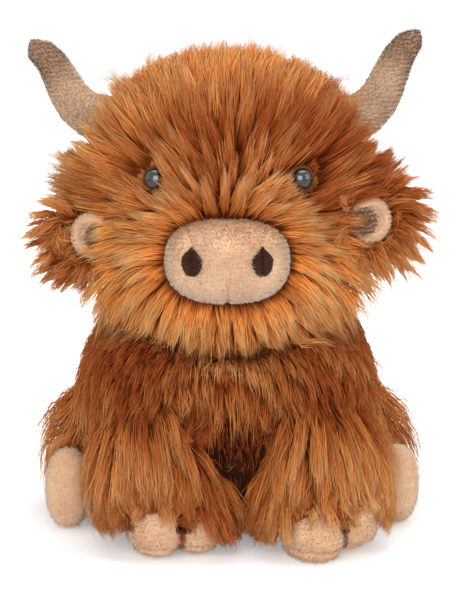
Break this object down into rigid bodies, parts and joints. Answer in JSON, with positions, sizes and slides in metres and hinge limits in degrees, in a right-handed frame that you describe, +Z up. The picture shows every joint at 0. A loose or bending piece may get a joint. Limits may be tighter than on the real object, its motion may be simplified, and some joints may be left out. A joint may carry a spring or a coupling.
{
  "type": "sitting plush cow",
  "caption": "Sitting long-haired highland cow soft toy with plush horns, muzzle and hooves, plastic eyes and sewn joints at neck, ears, legs and tail.",
  "frame": {"origin": "centre of the flat seat that the toy sits on", "axes": "+Z up, the toy faces -Y and its own left side is +X"},
  "size_m": [0.2315, 0.2236, 0.2938],
  "materials": {
    "fur": "long brushed faux fur, ginger with dark roots and pale tips",
    "plush": "beige short-pile plush",
    "horn_plush": "beige short-pile plush, airbrushed brown towards the tips",
    "dark_plush": "dark brown short-pile plush",
    "stuffing": "white polyester fibre fill",
    "pellet_cloth": "plain woven bag filled with plastic pellets",
    "eye_plastic": "polished black pupil with a dark brown iris rim",
    "washer_plastic": "plain moulded plastic"
  },
  "bodies": {
    "torso": {"body_cover": "fur", "body_stuffing": "stuffing", "seat_pellet_bag": "pellet_cloth"},
    "neck": {"neck_cover": "fur", "neck_stuffing": "stuffing"},
    "head": {"head_cover": "fur", "head_stuffing": "stuffing", "muzzle_cover": "plush", "muzzle_stuffing": "stuffing", "eye_left": "eye_plastic", "eye_washer_left": "washer_plastic", "nostril_left": "dark_plush", "horn_cover_left": "horn_plush", "horn_stuffing_left": "stuffing", "eye_right": "eye_plastic", "eye_washer_right": "washer_plastic", "nostril_right": "dark_plush", "horn_cover_right": "horn_plush", "horn_stuffing_right": "stuffing"},
    "tail": {"tail_cord": "fur", "tail_tuft": "fur"},
    "ear_left": {"ear_back_left": "fur", "ear_lining_left": "plush"},
    "foreleg_left": {"foreleg_cover_left": "fur", "foreleg_stuffing_left": "stuffing", "fore_toe_inner_left": "plush", "fore_toe_outer_left": "plush"},
    "hindleg_left": {"hindleg_cover_left": "fur", "hindleg_stuffing_left": "stuffing", "hind_toe_inner_left": "plush", "hind_toe_outer_left": "plush"},
    "ear_right": {"ear_back_right": "fur", "ear_lining_right": "plush"},
    "foreleg_right": {"foreleg_cover_right": "fur", "foreleg_stuffing_right": "stuffing", "fore_toe_inner_right": "plush", "fore_toe_outer_right": "plush"},
    "hindleg_right": {"hindleg_cover_right": "fur", "hindleg_stuffing_right": "stuffing", "hind_toe_inner_right": "plush", "hind_toe_outer_right": "plush"}
  },
  "joints": [
    {"name": "head_turn", "type": "hinge", "parent": "torso", "child": "neck", "pos_m": [0, -0.01, 0.118], "axis": [0, 0, 1], "range_deg": [-15, 15], "stiffness_Nm_per_rad": 1.5},
    {"name": "head_nod", "type": "hinge", "parent": "neck", "child": "head", "pos_m": [0, -0.01, 0.118], "axis": [1, 0, 0], "range_deg": [-6, 5], "stiffness_Nm_per_rad": 2.5, "springref_deg": -1.15},
    {"name": "ear_left_flap", "type": "hinge", "parent": "head", "child": "ear_left", "pos_m": [0.067, -0.056, 0.188], "axis": [0, 1, 0], "range_deg": [-10, 10], "stiffness_Nm_per_rad": 0.02},
    {"name": "ear_right_flap", "type": "hinge", "parent": "head", "child": "ear_right", "pos_m": [-0.067, -0.056, 0.178], "axis": [0, -1, 0], "range_deg": [-10, 10], "stiffness_Nm_per_rad": 0.02},
    {"name": "foreleg_left_lift", "type": "hinge", "parent": "torso", "child": "foreleg_left", "pos_m": [0.048, -0.044, 0.084], "axis": [-1, 0, 0], "range_deg": [0, 25]},
    {"name": "foreleg_right_lift", "type": "hinge", "parent": "torso", "child": "foreleg_right", "pos_m": [-0.048, -0.044, 0.084], "axis": [-1, 0, 0], "range_deg": [0, 25]},
    {"name": "hindleg_left_splay", "type": "hinge", "parent": "torso", "child": "hindleg_left", "pos_m": [0.063, 0.012, 0.0395], "axis": [0, 0, 1], "range_deg": [0, 30], "stiffness_Nm_per_rad": 0.1},
    {"name": "hindleg_right_splay", "type": "hinge", "parent": "torso", "child": "hindleg_right", "pos_m": [-0.063, 0.012, 0.0395], "axis": [0, 0, -1], "range_deg": [0, 30], "stiffness_Nm_per_rad": 0.1},
    {"name": "tail_swing", "type": "hinge", "parent": "torso", "child": "tail", "pos_m": [0, 0.074, 0.05], "axis": [0, 0, 1], "range_deg": [-20, 20], "stiffness_Nm_per_rad": 0.02}
  ]
}
